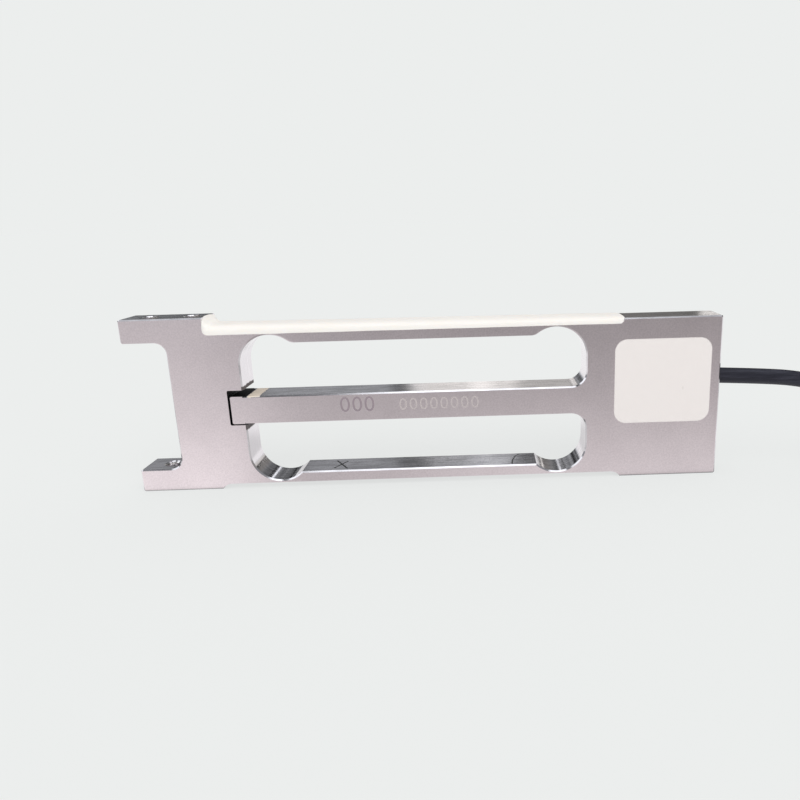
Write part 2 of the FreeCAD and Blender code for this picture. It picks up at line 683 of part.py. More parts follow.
def make_tie():
    """Strap round the hank's middle, with its head and cut tail on top."""
    x = HANK_X + HANK_RUN / 2 - TIE_WIDTH / 2
    reach = HANK_RADIUS + CABLE_RADIUS + TIE_GAP
    low, high = TIE_THICKNESS, TIE_THICKNESS + HANK_HEIGHT + TIE_GAP
    inner = ((HANK_Y - reach, low, TIE_CORNER), (HANK_Y + reach, low, TIE_CORNER),
             (HANK_Y + reach, high, TIE_CORNER), (HANK_Y - reach, high, TIE_CORNER))
    wide = reach + TIE_THICKNESS
    corner = TIE_CORNER + TIE_THICKNESS
    top = high + TIE_THICKNESS
    outer = ((HANK_Y - wide, 0, corner), (HANK_Y + wide, 0, corner),
             (HANK_Y + wide, top, corner), (HANK_Y - wide, top, corner))
    band = V(TIE_WIDTH, 0, 0)
    loop = Part.Face(section_at(x, outer)).extrude(band).cut(Part.Face(section_at(x, inner)).extrude(band))
    middle = x + TIE_WIDTH / 2
    head = block(middle - TIE_HEAD / 2, middle + TIE_HEAD / 2, HANK_Y - TIE_HEAD / 2, HANK_Y + TIE_HEAD / 2,
                 high, high + TIE_HEAD_HEIGHT)
    tail_z = high + TIE_HEAD_HEIGHT / 2
    tail = block(x, x + TIE_WIDTH, HANK_Y, HANK_Y + TIE_HEAD / 2 + TIE_TAIL, tail_z, tail_z + TIE_THICKNESS)
    return joined([loop, head, tail])


def lead_points(index):
    """Route of one lead from the jacket's end along the surface."""
    x, y, z = from_end(TAIL_POINTS)[-1]
    dy, dz = core_place(index)
    away = LEAD_FAN[index]
    ground = CORE_RADIUS
    upper = dz > 0
    return [
        (x, y + dy, z + dz),
        (x - 0.15 * LEAD_LENGTH, y + dy, z + dz),
        (x - 0.38 * LEAD_LENGTH, y + 0.55 * dy + 0.45 * away, z if upper else ground + 0.2),
        (x - 0.65 * LEAD_LENGTH, y + 0.8 * away, ground + 0.05),
        (x - LEAD_LENGTH, y + away, ground),
    ]


def make_lead(index):
    """Insulated core beyond the jacket."""
    return tube(lead_points(index), CORE_RADIUS)


def make_tip(index):
    """Tinned end of a lead."""
    points = lead_points(index)
    end = V(points[-1])
    ahead = (end - V(points[-2])).normalize()
    return Part.makeCylinder(TIP_RADIUS, TIP_LENGTH, end, ahead)


# --- all pieces -------------------------------------------------------------------------------
def make_parts():
    """Every piece by its name, the filled ones last because they are cut by what they hold."""
    parts = {"spring_body": make_body()}
    on_recess = {}
    for side in ("left", "right"):
        on_recess["gauge_backing_" + side] = make_backing(side)
        for place, shift in (("front", -0.5), ("back", 0.5)):
            name = "gauge_grid_%s_%s" % (side, place)
            on_recess[name] = make_grid(gauge_x(side), GAUGE_Y + shift * GRID_SPACING)
        on_recess["terminal_strip_" + side] = make_terminal(side)
    for side in ("left", "right"):
        for slot in range(3):
            on_recess["bridge_wire_%s_%d" % (side, slot + 1)] = make_wire(side, slot)
    in_pocket = {"compensation_board": make_board()}
    for column in range(2):
        for row in range(2):
            in_pocket["trim_resistor_%d" % (2 * column + row + 1)] = make_chip(column, row)
    for index, colour in enumerate(CORE_NAMES):
        in_pocket["core_" + colour] = make_core(index)
    in_pocket["cable_entry"] = make_entry()
    wires = [shape for name, shape in on_recess.items() if name.startswith("bridge_wire")]
    parts["gauge_coat"] = make_coat(parts["spring_body"], list(on_recess.values()))
    parts["pocket_potting"] = make_potting(list(in_pocket.values()) + wires)
    parts.update(on_recess)
    parts.update(in_pocket)
    parts["cable"] = make_cable()
    parts["cable_tail"] = make_tail()
    parts["cable_tie"] = make_tie()
    parts["cable_hank"] = make_hank([parts["cable"], parts["cable_tail"], parts["cable_tie"]])
    for index, colour in enumerate(CORE_NAMES):
        parts["lead_" + colour] = make_lead(index)
        parts["lead_tip_" + colour] = make_tip(index)
    return parts


os.makedirs("parts", exist_ok=True)
for name, shape in make_parts().items():
    print(name, shape.isValid(), len(shape.Solids), round(shape.Volume, 3), len(shape.Faces))
    shape.exportStep("parts/%s.step" % name)
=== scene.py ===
"""Looks of a single point load cell: its finishes, silicone, threads, pen marks and cable.

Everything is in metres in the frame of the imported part: X runs from the loaded end to the
fixed end, Y from the front to the back, Z up, and the origin is under the middle of the bar.
Sizes of the object are written in millimetres in the dataclasses and turned to metres by MM.
"""
import json
import logging
import math
from contextlib import contextmanager
from dataclasses import dataclass
from enum import Enum
from typing import Iterator, Sequence, Union

import bpy
from mathutils import Matrix, Vector, noise

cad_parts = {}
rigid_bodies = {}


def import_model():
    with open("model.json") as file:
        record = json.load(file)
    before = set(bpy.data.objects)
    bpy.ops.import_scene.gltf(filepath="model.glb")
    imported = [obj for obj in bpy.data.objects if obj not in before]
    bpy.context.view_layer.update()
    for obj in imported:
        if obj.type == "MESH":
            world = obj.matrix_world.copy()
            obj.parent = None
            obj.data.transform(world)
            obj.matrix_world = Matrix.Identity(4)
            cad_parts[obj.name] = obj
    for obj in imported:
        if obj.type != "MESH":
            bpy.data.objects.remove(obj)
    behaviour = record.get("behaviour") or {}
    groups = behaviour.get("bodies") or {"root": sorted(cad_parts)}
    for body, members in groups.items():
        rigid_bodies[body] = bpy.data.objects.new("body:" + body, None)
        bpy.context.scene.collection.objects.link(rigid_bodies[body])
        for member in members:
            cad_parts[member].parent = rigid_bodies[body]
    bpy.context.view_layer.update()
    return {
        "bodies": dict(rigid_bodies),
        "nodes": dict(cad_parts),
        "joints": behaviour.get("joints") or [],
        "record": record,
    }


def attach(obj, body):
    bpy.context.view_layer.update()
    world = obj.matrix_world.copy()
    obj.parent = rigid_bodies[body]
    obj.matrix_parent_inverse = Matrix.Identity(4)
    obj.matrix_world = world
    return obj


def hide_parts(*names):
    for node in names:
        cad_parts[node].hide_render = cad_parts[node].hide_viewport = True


MM = 0.001
MERGE = 1e-3 * MM  # points closer than this become one
TURN = 2 * math.pi
ROOT = "root"
log = logging.getLogger("load_cell")

Colour = tuple[float, float, float]
Number = Union[float, "Term"]


# --- shader maths -------------------------------------------------------------------------
@dataclass(frozen=True)
class Term:
    """A number socket that Python's operators extend with Math nodes."""

    graph: "Graph"
    socket: bpy.types.NodeSocket

    def __add__(self, other: Number) -> "Term":
        """Sum."""
        return self.graph.maths("ADD", self, other)

    def __sub__(self, other: Number) -> "Term":
        """Difference."""
        return self.graph.maths("SUBTRACT", self, other)

    def __rsub__(self, other: Number) -> "Term":
        """Difference from a number."""
        return self.graph.maths("SUBTRACT", other, self)

    def __mul__(self, other: Number) -> "Term":
        """Product."""
        return self.graph.maths("MULTIPLY", self, other)

    def __truediv__(self, other: Number) -> "Term":
        """Quotient."""
        return self.graph.maths("DIVIDE", self, other)

    __radd__ = __add__
    __rmul__ = __mul__

    def __abs__(self) -> "Term":
        """Size without its sign."""
        return self.graph.maths("ABSOLUTE", self)

    def root(self) -> "Term":
        """Square root."""
        return self.graph.maths("SQRT", self)

    def least(self, other: Number) -> "Term":
        """Smaller of two."""
        return self.graph.maths("MINIMUM", self, other)

    def most(self, other: Number) -> "Term":
        """Larger of two."""
        return self.graph.maths("MAXIMUM", self, other)

    def clamp(self) -> "Term":
        """Limited to 0 to 1."""
        return self.most(0.0).least(1.0)

    def step(self, low: float, high: float) -> "Term":
        """Smooth rise from 0 at one value to 1 at another, or a fall if they are swapped.

        Args:
            low: Value that gives 0.
            high: Value that gives 1.

        Returns:
            The eased share.
        """
        made = self.graph.node("MapRange", {"interpolation_type": "SMOOTHSTEP"},
                               {0: self, 1: low, 2: high})
        return Term(self.graph, made.outputs[0])


class Graph:
    """Node tree of one material or world, with one method that adds any node."""

    def __init__(self, tree: bpy.types.NodeTree) -> None:
        """Empties a tree and takes it over."""
        self.tree = tree
        tree.nodes.clear()

    def node(self, kind: str, settings: dict | None = None,
             inputs: dict | None = None) -> bpy.types.Node:
        """Adds a node.

        Args:
            kind: Node type without its ShaderNode prefix.
            settings: Attributes that are set first.
            inputs: Values or links by socket name or number.

        Returns:
            The node.
        """
        made = self.tree.nodes.new("ShaderNode" + kind)
        for name, value in (settings or {}).items():
            setattr(made, name, value)
        for name, value in (inputs or {}).items():
            self.feed(made.inputs[name], value)
        return made

    def feed(self, socket: bpy.types.NodeSocket, value: object) -> None:
        """Sets a socket, or links it where the value is a term or a socket."""
        source = value.socket if isinstance(value, Term) else value
        if isinstance(source, bpy.types.NodeSocket):
            self.tree.links.new(source, socket)
        elif socket.type == "RGBA" and len(source) == 3:
            socket.default_value = (*source, 1.0)
        else:
            socket.default_value = source

    def maths(self, operation: str, *values: Number) -> Term:
        """Math node on numbers or terms."""
        made = self.node("Math", {"operation": operation}, dict(enumerate(values)))
        return Term(self, made.outputs[0])

    def split(self, vector: bpy.types.NodeSocket) -> tuple[Term, Term, Term]:
        """X, Y and Z of a vector."""
        made = self.node("SeparateXYZ", inputs={0: vector})
        return tuple(Term(self, out) for out in made.outputs)

    def joined(self, x: Number, y: Number, z: Number) -> bpy.types.NodeSocket:
        """Vector of three numbers."""
        return self.node("CombineXYZ", inputs={0: x, 1: y, 2: z}).outputs[0]

    def place(self) -> tuple[bpy.types.NodeSocket, bpy.types.NodeSocket]:
        """Object coordinates in millimetres, and the surface's normal."""
        source = self.node("TexCoord")
        return self.scaled(source.outputs["Object"], 1 / MM), source.outputs["Normal"]

    def scaled(self, vector: bpy.types.NodeSocket, factor: Number) -> bpy.types.NodeSocket:
        """A vector or colour multiplied by one number."""
        made = self.node("VectorMath", {"operation": "SCALE"}, {0: vector, "Scale": factor})
        return made.outputs[0]

    def stretched(self, vector: bpy.types.NodeSocket, x: float, y: float,
                  z: float) -> bpy.types.NodeSocket:
        """A vector multiplied axis by axis."""
        made = self.node("VectorMath", {"operation": "MULTIPLY"}, {0: vector, 1: (x, y, z)})
        return made.outputs[0]

    def noise(self, vector: bpy.types.NodeSocket, scale: float, detail: float,
              rough: float = 0.5) -> Term:
        """Noise from 0 to 1, with a mean of about a half."""
        made = self.node("TexNoise", inputs={"Vector": vector, "Scale": scale, "Detail": detail,
                                             "Roughness": rough})
        return Term(self, made.outputs[0])

    def specks(self, vector: bpy.types.NodeSocket, scale: float) -> Term:
        """Distance to the nearest of many scattered points, in cells."""
        made = self.node("TexVoronoi", inputs={"Vector": vector, "Scale": scale})
        return Term(self, made.outputs["Distance"])

    def looked_at(self, path: bpy.types.NodeOutputs) -> Term:
        """1 for what the camera sees, straight or through something clear, and 0 otherwise."""
        return Term(self, path["Is Camera Ray"]).most(Term(self, path["Is Transmission Ray"]))

    def mix(self, share: Number, first: object, second: object) -> bpy.types.NodeSocket:
        """Colour between two."""
        made = self.node("Mix", {"data_type": "RGBA"}, {0: share, 6: first, 7: second})
        return made.outputs[2]

    def bump(self, height: Term, depth: float, strength: float,
             normal: bpy.types.NodeSocket | None = None) -> bpy.types.NodeSocket:
        """Normal from a height that varies from 0 to 1 over a depth in millimetres."""
        inputs = {"Strength": strength, "Distance": depth * MM, "Height": height}
        if normal is not None:
            inputs["Normal"] = normal
        return self.node("Bump", inputs=inputs).outputs[0]

    def surface(self, **inputs: object) -> None:
        """Ends the tree with a Principled shader, whose sockets are named with underscores."""
        named = {name.replace("_", " "): value for name, value in inputs.items()}
        shader = self.node("BsdfPrincipled", inputs=named)
        self.node("OutputMaterial", inputs={0: shader.outputs[0]})

    def stroke(self, across: Term, along: Term, start: Sequence[float], end: Sequence[float],
               width: float) -> Term:
        """Mask of a straight pen stroke with round ends.

        Args:
            across: First coordinate on the surface.
            along: Second coordinate on the surface.
            start: Where the stroke starts.
            end: Where it ends.
            width: Its full width.

        Returns:
            1 on the stroke and 0 off it.
        """
        run, rise = end[0] - start[0], end[1] - start[1]
        off_x, off_y = across - start[0], along - start[1]
        share = ((off_x * run + off_y * rise) / (run * run + rise * rise)).clamp()
        gap_x, gap_y = off_x - share * run, off_y - share * rise
        return (gap_x * gap_x + gap_y * gap_y).root().step(0.55 * width, 0.4 * width)


# --- finishes -----------------------------------------------------------------------------
@dataclass(frozen=True)
class Finish:
    """A named material that builds its own node tree."""

    name: str
    colour: Colour

    def material(self) -> bpy.types.Material:
        """The material, built the first time it is asked for."""
        known = bpy.data.materials.get(self.name)
        if known:
            return known
        made = bpy.data.materials.new(self.name)
        made.use_nodes = True
        self.build(Graph(made.node_tree))
        made.diffuse_color = (*self.colour, 1.0)
        return made

    def build(self, graph: Graph) -> None:
        """Fills the tree."""
        raise NotImplementedError


@dataclass(frozen=True)
class PenMark:
    """One straight stroke of a marker pen on an upward face: ends (x, y) and width."""

    start: tuple[float, float]
    end: tuple[float, float]
    width: float


@dataclass(frozen=True)
class MarkOrShade:
    """A recoloured box of the metal, by its low and high corners, for a real mark or for painted
    shade; a bare one still shines.
    """

    low: tuple[float, float, float]
    high: tuple[float, float, float]
    colour: Colour
    rough: float
    bare: bool = False


@dataclass(frozen=True)
class BlastedAluminium(Finish):
    """Fine satin faces, with milled walls whose lines follow the cut."""

    milled: Colour = (0.85, 0.815, 0.845)
    grain: Colour = (0.84, 0.750, 0.776)
    satin: float = 0.34
    mirror: float = 0.11
    tool_marks: float = 0.62
    relief: float = 0.012
    ink: Colour = (0.012, 0.013, 0.012)
    ink_level: float = 3.05
    pen: tuple[PenMark, ...] = ()
    marks_and_shade: tuple[MarkOrShade, ...] = ()

    def build(self, graph: Graph) -> None:
        """Fills the tree; edge breaks that look down are shaded as part of the front or back."""
        place, normal = graph.place()
        x, y, z = graph.split(place)
        nx, ny, nz = graph.split(normal)
        under = nz.step(-0.3, -0.6) * abs(ny).step(0.45, 0.6) * z.step(3.5, 4.5)
        level = graph.joined(nx, ny, nz * (1.0 - under))
        bent = graph.node("VectorMath", {"operation": "NORMALIZE"}, {0: level}).outputs[0]
        face = abs(ny).step(0.78, 0.92).most(under)
        upright = abs(nx).step(0.75, 0.95)
        grain = graph.noise(place, 3.6, 3.0, 0.65)
        clouds = graph.noise(place, 0.16, 2.0)
        lines = graph.noise(graph.stretched(place, 0.05, 7.0, 0.05), 1.0, 3.0, 0.6)
        patches = graph.noise(graph.stretched(place, 0.22, 0.9, 0.22), 1.0, 3.0, 0.6)
        flat = graph.mix((grain * 2.8 + clouds * 0.8 - 1.3).clamp(), self.colour, self.grain)
        shade = lines.step(0.36, 0.60) * 0.45 + patches.step(0.36, 0.62) * 0.55
        dark = tuple(self.tool_marks * part for part in self.milled)
        wall = graph.mix(shade.most(upright * 0.85), dark, self.milled)
        metal = graph.mix(face, wall, flat)
        rough = face * (self.satin + (grain - 0.5) * 0.10)
        rough = rough + (1.0 - face) * (self.mirror + (lines - 0.4).clamp() * 0.25)
        ink = self.inked(graph, x, y, z, nz)
        bare = 1.0 - 0.5 * ink
        wander = graph.noise(place, 1.2, 2.0) * 0.5 - 0.25
        # boxes of painted shade by the stop slot and of real marks recolour the walls
        for mark_or_shade in self.marks_and_shade:
            mask = self.inside((x, y, z), mark_or_shade, wander) * (1.0 - face)
            metal = graph.mix(mask, metal, mark_or_shade.colour)
            rough = rough + mask * (mark_or_shade.rough - rough)
            bare = bare if mark_or_shade.bare else bare * (1.0 - mask)
        height = face * grain * 0.55 + (1.0 - face) * (0.38 - upright * 0.2) * lines
        graph.surface(Base_Color=graph.mix(ink, metal, self.ink), Metallic=bare,
                      Roughness=rough + ink * 0.25,
                      Normal=graph.bump(height, self.relief, 0.55, bent))

    def inside(self, place: tuple[Term, Term, Term], mark_or_shade: MarkOrShade, wander: Term) -> Term:
        """Mask of the box of a mark or of painted shade, with a ragged edge."""
        mask = None
        for value, low, high in zip(place, mark_or_shade.low, mark_or_shade.high):
            along = (value + wander).step(low - 0.15, low + 0.1)
            along = along * (value + wander).step(high + 0.15, high - 0.1)
            mask = along if mask is None else mask * along
        return mask

    def inked(self, graph: Graph, x: Term, y: Term, z: Term, up: Term) -> Term:
        """Mask of the pen marks on the lower beam's inner face."""
        mark = None
        for stroke in self.pen:
            one = graph.stroke(x, y, stroke.start, stroke.end, stroke.width)
            mark = one if mark is None else mark.most(one)
        if mark is None:
            return up * 0.0
        ragged = graph.noise(graph.joined(x, y, z), 3.5, 2.0).step(0.28, 0.42)
        level = abs(z - self.ink_level).step(0.3, 0.1)
        return mark * up.step(0.8, 0.9) * level * ragged


@dataclass(frozen=True)
class Silicone(Finish):
    """White silicone: soft sheen, slightly warm, faintly cloudy."""

    shade: Colour = (0.91, 0.872, 0.82)

    def build(self, graph: Graph) -> None:
        """Fills the tree."""
        place, _ = graph.place()
        clouds = graph.noise(graph.stretched(place, 0.25, 0.8, 0.8), 1.0, 2.0)
        ripple = graph.noise(graph.stretched(place, 0.5, 1.2, 1.2), 1.0, 2.0)
        graph.surface(Base_Color=graph.mix(clouds.step(0.35, 0.8), self.colour, self.shade),
                      Roughness=0.42 + ripple * 0.1, Normal=graph.bump(ripple, 0.04, 0.4),
                      Specular_IOR_Level=0.2, Subsurface_Weight=0.12,
                      Subsurface_Radius=(1.2 * MM, 1.0 * MM, 0.8 * MM), Subsurface_Scale=1.0,
                      IOR=1.41)


@dataclass(frozen=True)
class Potting(Finish):
    """Satin potting compound with a few tiny pits."""

    shade: Colour = (0.76, 0.705, 0.685)
    nick: tuple[float, float] = (48.0, 17.35)

    def build(self, graph: Graph) -> None:
        """Fills the tree."""
        place, _ = graph.place()
        x, _, z = graph.split(place)
        mottle = graph.noise(place, 0.7, 3.0)
        pits = graph.specks(place, 0.55).step(0.05, 0.02)
        gap_x, gap_z = x - self.nick[0], z - self.nick[1]
        nick = (gap_x * gap_x * 5.0 + gap_z * gap_z).root().step(0.45, 0.2)
        spots = (pits * 0.3).most(nick * 0.9)
        tint = graph.mix(mottle.step(0.3, 0.8) * 0.08 + spots * 0.8, self.colour, self.shade)
        height = mottle * 0.4 - spots * 1.6
        graph.surface(Base_Color=tint, Roughness=0.50 + mottle * 0.1,
                      Normal=graph.bump(height, 0.03, 0.6), Specular_IOR_Level=0.35)


@dataclass(frozen=True)
class Jacket(Finish):
    """Flexible cable jacket: bluish black with soft streaks along it and a little dust."""

    streak: Colour = (0.036, 0.036, 0.052)
    dust: Colour = (0.45, 0.45, 0.47)

    def build(self, graph: Graph) -> None:
        """Fills the tree."""
        place, _ = graph.place()
        streaks = graph.noise(graph.stretched(place, 0.12, 1.4, 1.4), 1.0, 2.0)
        fine = graph.noise(place, 4.0, 3.0, 0.6)
        dust = graph.specks(place, 0.5).step(0.045, 0.02)
        tint = graph.mix(streaks.step(0.4, 0.7) * 0.8, self.colour, self.streak)
        tint = graph.mix(dust * 0.5, tint, self.dust)
        graph.surface(Base_Color=tint, Roughness=0.42 + fine * 0.16,
                      Normal=graph.bump(fine, 0.02, 0.5), Specular_IOR_Level=0.28)


@dataclass(frozen=True)
class Insulation(Finish):
    """Thin coloured plastic on a core."""

    def build(self, graph: Graph) -> None:
        """Fills the tree."""
        place, _ = graph.place()
        mottle = graph.noise(place, 1.3, 2.0)
        dark = tuple(0.72 * part for part in self.colour)
        graph.surface(Base_Color=graph.mix(mottle, dark, self.colour),
                      Roughness=0.3 + mottle * 0.12, Normal=graph.bump(mottle, 0.03, 0.5))


@dataclass(frozen=True)
class Drawn(Finish):
    """Wire or foil with lines along it."""

    metallic: float = 1.0
    rough: float = 0.28

    def build(self, graph: Graph) -> None:
        """Fills the tree."""
        place, _ = graph.place()
        lines = graph.noise(graph.stretched(place, 0.4, 9.0, 9.0), 1.0, 2.0)
        dark = tuple(0.6 * part for part in self.colour)
        graph.surface(Base_Color=graph.mix(lines, dark, self.colour), Metallic=self.metallic,
                      Roughness=self.rough + lines * 0.15, Normal=graph.bump(lines, 0.02, 0.5))


@dataclass(frozen=True)
class Woven(Finish):
    """Laminate whose glass weave shows faintly under its resin."""

    pitch: float = 0.4

    def build(self, graph: Graph) -> None:
        """Fills the tree."""
        place, _ = graph.place()
        x, y, z = graph.split(place)
        turn = TURN / self.pitch
        warp, weft = graph.maths("SINE", x * turn), graph.maths("SINE", (y + z) * turn)
        weave = warp * weft * 0.5 + 0.5
        dark = tuple(0.75 * part for part in self.colour)
        graph.surface(Base_Color=graph.mix(weave, dark, self.colour), Roughness=0.34 + weave * 0.08,
                      Normal=graph.bump(weave, 0.01, 0.4))


@dataclass(frozen=True)
class Moulded(Finish):
    """Moulded plastic with a fine spark-eroded grain."""

    rough: float = 0.42

    def build(self, graph: Graph) -> None:
        """Fills the tree."""
        place, _ = graph.place()
        grain = graph.noise(place, 7.0, 2.0)
        light = tuple(min(1.0, 1.5 * part + 0.01) for part in self.colour)
        graph.surface(Base_Color=graph.mix(grain, self.colour, light),
                      Roughness=self.rough + grain * 0.15, Normal=graph.bump(grain, 0.015, 0.5))


# a cross, a hooked line and two short dashes on the lower beam
PEN_MARKS = (
    PenMark((-18.65, -1.6), (-16.75, 1.45), 0.34),
    PenMark((-18.85, 1.9), (-16.15, -2.0), 0.34),
    PenMark((15.7, -2.3), (15.9, -0.6), 0.3),
    PenMark((15.9, -0.6), (16.35, 1.0), 0.28),
    PenMark((16.35, 1.0), (17.1, 2.2), 0.24),
    PenMark((17.1, 2.2), (18.0, 2.65), 0.24),
    PenMark((17.95, 2.9), (18.3, 2.9), 0.5),
    PenMark((-1.3, 1.6), (0.4, 1.45), 0.16),
    PenMark((2.8, 1.5), (3.2, 1.45), 0.2),
)
# painted shade for the insides of the stop slot
SLOT_SHADE: Colour = (0.012, 0.012, 0.014)
# painted shadow on the window wall just under the arm and under the slot's roof
WALL_SHADOW: Colour = (0.11, 0.092, 0.092)
# painted shade on the stop slot's walls and roof and on the arm's tip under its roof, the arm's
# real pale patch, and painted shadow on the window wall below and above the slot
MARKS_AND_SHADE = (
    MarkOrShade((-37.2, -4.0, 12.3), (-34.15, 4.0, 18.0), SLOT_SHADE, 0.5, bare=True),
    MarkOrShade((-37.2, -4.0, 18.5), (-34.15, 4.0, 19.6), SLOT_SHADE, 0.5, bare=True),
    MarkOrShade((-37.2, -4.0, 18.0), (-33.5, 4.0, 18.5), (0.03, 0.03, 0.032), 0.5, bare=True),
    MarkOrShade((-33.3, -4.0, 18.1), (-31.1, 4.0, 18.5), (0.80, 0.70, 0.58), 0.5),
    MarkOrShade((-34.3, -4.0, 11.75), (-33.6, 4.0, 12.85), WALL_SHADOW, 0.6),
    MarkOrShade((-34.3, -4.0, 19.4), (-33.6, 4.0, 20.1), WALL_SHADOW, 0.6),
)
BLASTED: Colour = (0.72, 0.64, 0.664)


class Finishes(Enum):
    """Every finish on the object."""

    ALUMINIUM = BlastedAluminium("blasted_aluminium", BLASTED, pen=PEN_MARKS, marks_and_shade=MARKS_AND_SHADE)
    CUT_THREAD = BlastedAluminium("cut_thread", BLASTED, milled=(0.95, 0.92, 0.90), mirror=0.10)
    SILICONE = Silicone("white_silicone", (0.918, 0.884, 0.846))
    POTTING = Potting("potting_compound", (0.838, 0.786, 0.768))
    JACKET = Jacket("cable_jacket", (0.016, 0.016, 0.026))
    RED = Insulation("red_insulation", (0.62, 0.03, 0.02))
    BLACK = Insulation("black_insulation", (0.02, 0.02, 0.02))
    GREEN = Insulation("green_insulation", (0.02, 0.30, 0.08))
    WHITE = Insulation("white_insulation", (0.85, 0.85, 0.83))
    TINNED = Drawn("tinned_strands", (0.75, 0.76, 0.78))
    ENAMEL = Drawn("enamelled_wire", (0.60, 0.28, 0.10), metallic=0.85)
    FOIL = Drawn("gauge_foil", (0.72, 0.70, 0.66), rough=0.34)
    FILM = Moulded("gauge_film", (0.62, 0.42, 0.12), rough=0.25)
    LAMINATE = Woven("glass_laminate", (0.10, 0.32, 0.16))
    CHIP = Moulded("chip_resistor", (0.05, 0.05, 0.05))
    NYLON = Moulded("tie_nylon", (0.04, 0.04, 0.04), rough=0.36)
    ETCHED_DARK = Moulded("dark_etching", (0.235, 0.192, 0.215), rough=0.6)
    ETCHED_LIGHT = Moulded("light_etching", (0.40, 0.357, 0.357), rough=0.7)


CORE_FINISHES = {"red": Finishes.RED, "black": Finishes.BLACK, "green": Finishes.GREEN,
                 "white": Finishes.WHITE}


# --- modelling ----------------------------------------------------------------------------
def only(*objects: bpy.types.Object) -> None:
    """Selects just these objects and makes the last one active."""
    bpy.ops.object.select_all(action="DESELECT")
    for item in objects:
        item.select_set(True)
        bpy.context.view_layer.objects.active = item


@contextmanager
def editing(item: bpy.types.Object) -> Iterator[bpy.types.Mesh]:
    """Edit mode on one object, with nothing selected at its start."""
    only(item)
    bpy.ops.object.mode_set(mode="EDIT")
    bpy.ops.mesh.select_all(action="DESELECT")
    bpy.ops.object.mode_set(mode="OBJECT")
    yield item.data
    bpy.ops.object.mode_set(mode="OBJECT")


def named(name: str) -> bpy.types.Object:
    """The object that an operator has just made, with a name."""
    made = bpy.context.view_layer.objects.active
    made.name = name
    made.data.name = name
    return made


def settled(item: bpy.types.Object) -> bpy.types.Object:
    """Moves an object's place into its mesh, so that it sits at the origin unturned."""
    only(item)
    bpy.ops.object.transform_apply(location=True, rotation=True, scale=True)
    return item


def applied(item: bpy.types.Object, kind: str, **settings: object) -> bpy.types.Object:
    """Adds a modifier with its settings and applies it."""
    only(item)
    made = item.modifiers.new(kind.lower(), kind)
    for name, value in settings.items():
        setattr(made, name, value)
    bpy.ops.object.modifier_apply(modifier=made.name)
    return item


def tidied(item: bpy.types.Object) -> bpy.types.Object:
    """Merges doubles and turns every face outwards."""
    with editing(item):
        bpy.ops.object.mode_set(mode="EDIT")
        bpy.ops.mesh.select_all(action="SELECT")
        bpy.ops.mesh.remove_doubles(threshold=MERGE)
        bpy.ops.mesh.normals_make_consistent(inside=False)
    return item


def smoothed(item: bpy.types.Object, degrees: float) -> bpy.types.Object:
    """Shades smooth, apart from edges sharper than an angle."""
    only(item)
    bpy.ops.object.shade_smooth_by_angle(angle=math.radians(degrees))
    return item


def placed(item: bpy.types.Object, finish: Finishes) -> bpy.types.Object:
    """Dresses a finished piece and makes it ride on the bar."""
    item.data.materials.clear()
    item.data.materials.append(finish.value.material())
    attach(item, ROOT)
    log.info("%s: %s", item.name, finish.value.name)
    return item


def dress(frame: dict, nodes: dict[str, Finishes]) -> None:
    """Gives CAD nodes their finishes."""
    for name, finish in nodes.items():
        shown = frame["nodes"][name]
        for place in shown.material_slots:
            place.material = finish.value.material()


# --- the bar ------------------------------------------------------------------------------
@dataclass(frozen=True)
class Thread:
    """A tapped hole: mouth (x, z), direction down the hole, and how much of it is tapped."""

    name: str
    x: float
    z: float
    down: bool
    length: float


@dataclass(frozen=True)
class Figures:
    """A row of etched figures: where it starts (x, z), its height and how far it is spread."""

    name: str
    text: str
    x: float
    z: float
    height: float
    spread: float
    finish: Finishes


